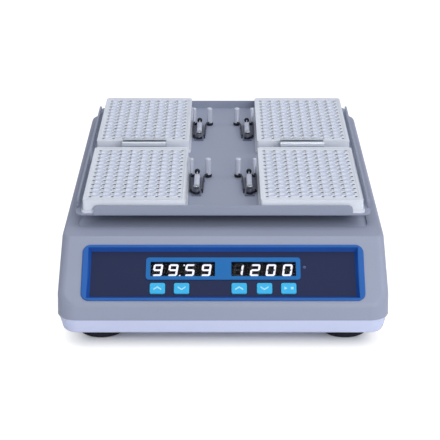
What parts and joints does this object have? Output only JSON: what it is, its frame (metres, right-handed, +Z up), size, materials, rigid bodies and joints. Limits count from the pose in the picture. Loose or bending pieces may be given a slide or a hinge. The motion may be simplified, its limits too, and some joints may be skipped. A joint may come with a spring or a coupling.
{
  "type": "microplate shaker",
  "caption": "Bench shaker for microplates: low console housing with a sloped control face, and an orbiting sheet-metal tray that holds plates in spring clamps.",
  "frame": {"origin": "centre of the bounding box at the underside of the rubber feet", "axes": "+Z up, -Y towards the front with the control face, +X to the right seen from the front"},
  "size_m": [0.26, 0.353, 0.1018],
  "materials": {
    "cover_grey": "fine satin moulded shell",
    "pan_pale": "satin moulded shell",
    "frame_blue": "smooth satin",
    "panel_navy": "printed film over plate",
    "surround_blue": "printed film",
    "key_blue": "satin keycap",
    "lens_dark": "dark clear lens",
    "digit_module": "dark moulding with light segments",
    "lamp": "clear dome",
    "tray_coat": "fine powder coat",
    "spring_steel": "polished",
    "zinc_steel": "plated",
    "black_steel": "black",
    "plate_white": "smooth moulding",
    "rubber_black": "moulded",
    "alu": "machined",
    "steel": "turned",
    "brass_weight": "machined",
    "belt_rubber": "flat belt",
    "board_green": "circuit board",
    "black_plastic": "fine texture",
    "cable_grey": "flat ribbon"
  },
  "bodies": {
    "housing": {"top_cover": "cover_grey", "bottom_pan": "pan_pale", "rubber_feet": "rubber_black", "pan_screws": "zinc_steel", "panel_frame": "frame_blue", "control_panel": "panel_navy", "display_surround": "surround_blue", "display_windows": "lens_dark", "digit_displays": "digit_module", "run_lamp": "lamp", "display_board": "board_green", "face_screws": "zinc_steel", "key_switches": "black_plastic", "control_board": "board_green", "inside_screws": "zinc_steel", "ribbon_cable": "cable_grey", "chassis_plate": "zinc_steel", "bearing_housings": "alu", "shaft_bearings": "steel", "drive_motor": "black_steel", "drive_belt": "belt_rubber", "rocker_housing": "black_plastic", "power_jack": "black_plastic", "jack_nut": "zinc_steel"},
    "crank": {"drive_crank": "steel", "crank_pulley": "alu", "counterweight": "brass_weight"},
    "motor_rotor": {"motor_pulley": "alu"},
    "platform": {"carriage": "alu", "carriage_bearings": "steel", "carriage_posts": "alu", "tray": "tray_coat", "tray_screws": "zinc_steel", "centre_clips": "spring_steel", "clip_rivets": "zinc_steel", "clamp_bases": "tray_coat", "clamp_pins": "zinc_steel", "clamp_springs": "spring_steel", "fixed_pads": "rubber_black"},
    "rocker": {"rocker_switch": "black_plastic"},
    "idler_1": {"idler_crank_1": "steel"},
    "idler_2": {"idler_crank_2": "steel"},
    "idler_3": {"idler_crank_3": "steel"},
    "key_time_up": {"key_time_up": "key_blue"},
    "key_time_down": {"key_time_down": "key_blue"},
    "key_speed_up": {"key_speed_up": "key_blue"},
    "key_speed_down": {"key_speed_down": "key_blue"},
    "key_start_stop": {"key_start_stop": "key_blue"},
    "lever_front_left": {"clamp_lever_front_left": "tray_coat", "lever_pad_front_left": "rubber_black"},
    "plate_front_left": {"microplate_front_left": "plate_white"},
    "lever_front_right": {"clamp_lever_front_right": "tray_coat", "lever_pad_front_right": "rubber_black"},
    "plate_front_right": {"microplate_front_right": "plate_white"},
    "lever_rear_left": {"clamp_lever_rear_left": "tray_coat", "lever_pad_rear_left": "rubber_black"},
    "plate_rear_left": {"microplate_rear_left": "plate_white"},
    "lever_rear_right": {"clamp_lever_rear_right": "tray_coat", "lever_pad_rear_right": "rubber_black"},
    "plate_rear_right": {"microplate_rear_right": "plate_white"}
  },
  "joints": [
    {"name": "crank_spin", "type": "hinge", "parent": "housing", "child": "crank", "pos_m": [0, 0.025, 0.045], "axis": [0, 0, 1], "continuous": true},
    {"name": "motor_spin", "type": "hinge", "parent": "housing", "child": "motor_rotor", "pos_m": [0.048, 0.058, 0.045], "axis": [0, 0, 1], "continuous": true},
    {"name": "platform_level", "type": "hinge", "parent": "crank", "child": "platform", "pos_m": [0, 0.0265, 0.06], "axis": [0, 0, 1], "continuous": true},
    {"name": "idler_1_spin", "type": "hinge", "parent": "housing", "child": "idler_1", "pos_m": [-0.06, -0.0495, 0.045], "axis": [0, 0, 1], "continuous": true},
    {"name": "idler_2_spin", "type": "hinge", "parent": "housing", "child": "idler_2", "pos_m": [0.06, -0.0495, 0.045], "axis": [0, 0, 1], "continuous": true},
    {"name": "idler_3_spin", "type": "hinge", "parent": "housing", "child": "idler_3", "pos_m": [0, 0.117, 0.045], "axis": [0, 0, 1], "continuous": true},
    {"name": "lever_front_left_swing", "type": "hinge", "parent": "platform", "child": "lever_front_left", "pos_m": [-0.0222, -0.066, 0.0866], "axis": [0, 0, -1], "range_deg": [0, 2.5], "stiffness_Nm_per_rad": 0.02, "springref_deg": -5.73},
    {"name": "plate_front_left_lift", "type": "slide", "parent": "platform", "child": "plate_front_left", "axis": [0, 0, 1], "range_m": [0, 0.03]},
    {"name": "lever_front_right_swing", "type": "hinge", "parent": "platform", "child": "lever_front_right", "pos_m": [0.0222, -0.066, 0.0866], "axis": [0, 0, 1], "range_deg": [0, 2.5], "stiffness_Nm_per_rad": 0.02, "springref_deg": -5.73},
    {"name": "plate_front_right_lift", "type": "slide", "parent": "platform", "child": "plate_front_right", "axis": [0, 0, 1], "range_m": [0, 0.03]},
    {"name": "lever_rear_left_swing", "type": "hinge", "parent": "platform", "child": "lever_rear_left", "pos_m": [-0.0222, 0.07, 0.0866], "axis": [0, 0, -1], "range_deg": [0, 2.5], "stiffness_Nm_per_rad": 0.02, "springref_deg": -5.73},
    {"name": "plate_rear_left_lift", "type": "slide", "parent": "platform", "child": "plate_rear_left", "axis": [0, 0, 1], "range_m": [0, 0.03]},
    {"name": "lever_rear_right_swing", "type": "hinge", "parent": "platform", "child": "lever_rear_right", "pos_m": [0.0222, 0.07, 0.0866], "axis": [0, 0, 1], "range_deg": [0, 2.5], "stiffness_Nm_per_rad": 0.02, "springref_deg": -5.73},
    {"name": "plate_rear_right_lift", "type": "slide", "parent": "platform", "child": "plate_rear_right", "axis": [0, 0, 1], "range_m": [0, 0.03]},
    {"name": "key_time_up_press", "type": "slide", "parent": "housing", "child": "key_time_up", "axis": [0, 0.6347, -0.7727], "range_m": [0, 0.0004], "stiffness_N_per_m": 600, "springref_m": -0.0004},
    {"name": "key_time_down_press", "type": "slide", "parent": "housing", "child": "key_time_down", "axis": [0, 0.6347, -0.7727], "range_m": [0, 0.0004], "stiffness_N_per_m": 600, "springref_m": -0.0004},
    {"name": "key_speed_up_press", "type": "slide", "parent": "housing", "child": "key_speed_up", "axis": [0, 0.6347, -0.7727], "range_m": [0, 0.0004], "stiffness_N_per_m": 600, "springref_m": -0.0004},
    {"name": "key_speed_down_press", "type": "slide", "parent": "housing", "child": "key_speed_down", "axis": [0, 0.6347, -0.7727], "range_m": [0, 0.0004], "stiffness_N_per_m": 600, "springref_m": -0.0004},
    {"name": "key_start_stop_press", "type": "slide", "parent": "housing", "child": "key_start_stop", "axis": [0, 0.6347, -0.7727], "range_m": [0, 0.0004], "stiffness_N_per_m": 600, "springref_m": -0.0004},
    {"name": "rocker_tilt", "type": "hinge", "parent": "housing", "child": "rocker", "pos_m": [0.084, 0.167, 0.046], "axis": [-1, 0, 0], "range_deg": [0, 14]}
  ],
  "couplings": [
    {"joint": "motor_spin", "follows": "crank_spin", "ratio": 3},
    {"joint": "platform_level", "follows": "crank_spin", "ratio": -1},
    {"joint": "idler_1_spin", "follows": "crank_spin", "ratio": 1},
    {"joint": "idler_2_spin", "follows": "crank_spin", "ratio": 1},
    {"joint": "idler_3_spin", "follows": "crank_spin", "ratio": 1}
  ]
}
